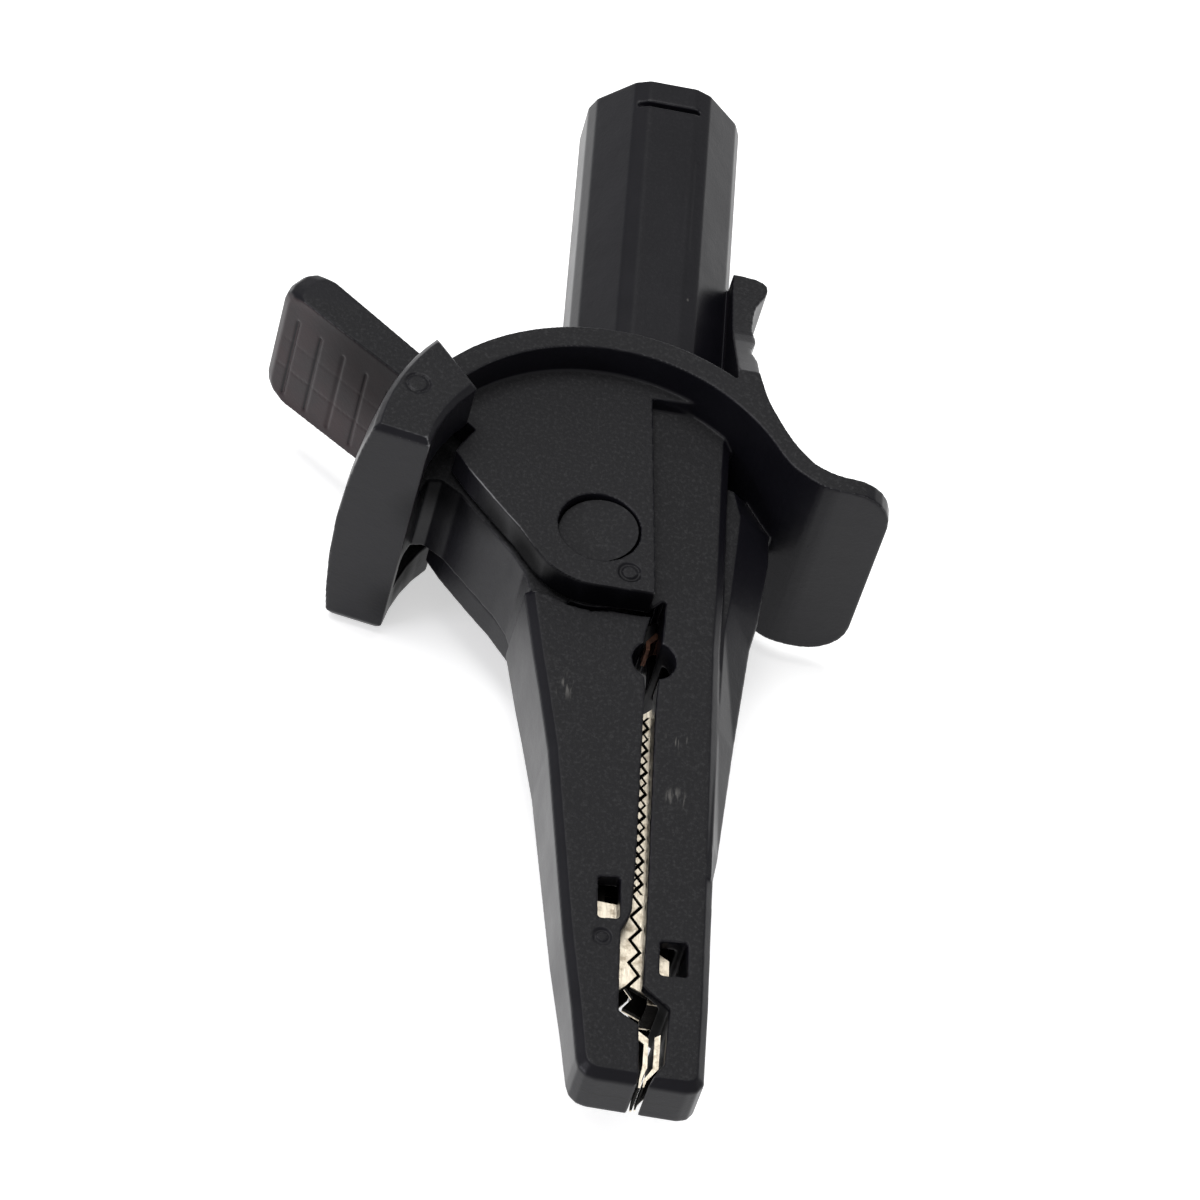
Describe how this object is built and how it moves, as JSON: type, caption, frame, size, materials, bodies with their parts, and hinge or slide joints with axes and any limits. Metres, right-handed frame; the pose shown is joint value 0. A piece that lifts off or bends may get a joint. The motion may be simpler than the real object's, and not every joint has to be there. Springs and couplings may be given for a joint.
{
  "type": "alligator test clip",
  "caption": "Insulated alligator test clip: ribbed thumb lever with a guard block over a ring, toothed metal jaws in black shells, octagonal barrel with a 4 mm safety socket.",
  "frame": {"origin": "centre of the bounding box's footprint, on its lowest plane, clip lying flat and closed", "axes": "+Y along the clip from the jaw tips to the socket, +Z out of the flat front face, +X towards the guard wing"},
  "size_m": [0.0474, 0.0926, 0.0236],
  "materials": {
    "black_shell": "fine spark-eroded texture on the flat faces, smoother on barrel and edges",
    "black_cap": "fine matt",
    "plated_jaw": "worn warm nickel plate",
    "contact_brass": "turned",
    "copper_strip": "bare copper",
    "spring_steel": "drawn wire and ground pin"
  },
  "bodies": {
    "fixed_side": {"fixed_shell": "black_shell", "fixed_jaw_plate": "plated_jaw", "fixed_tip_plate": "plated_jaw", "socket_contact": "contact_brass", "link_strap": "copper_strip", "link_rivet": "contact_brass", "jumper_braid": "copper_strip", "hinge_pin": "spring_steel", "pivot_cap_front": "black_cap", "pivot_cap_back": "black_cap", "torsion_spring": "spring_steel"},
    "moving_side": {"moving_shell": "black_shell", "moving_jaw_plate": "plated_jaw"}
  },
  "joints": [
    {"name": "jaw_hinge", "type": "hinge", "parent": "fixed_side", "child": "moving_side", "pos_m": [0.00169, -0.0009, 0.0118], "axis": [0, 0, -1], "range_deg": [0, 27], "stiffness_Nm_per_rad": 0.15, "springref_deg": -57.3, "deforming": ["torsion_spring"]}
  ]
}
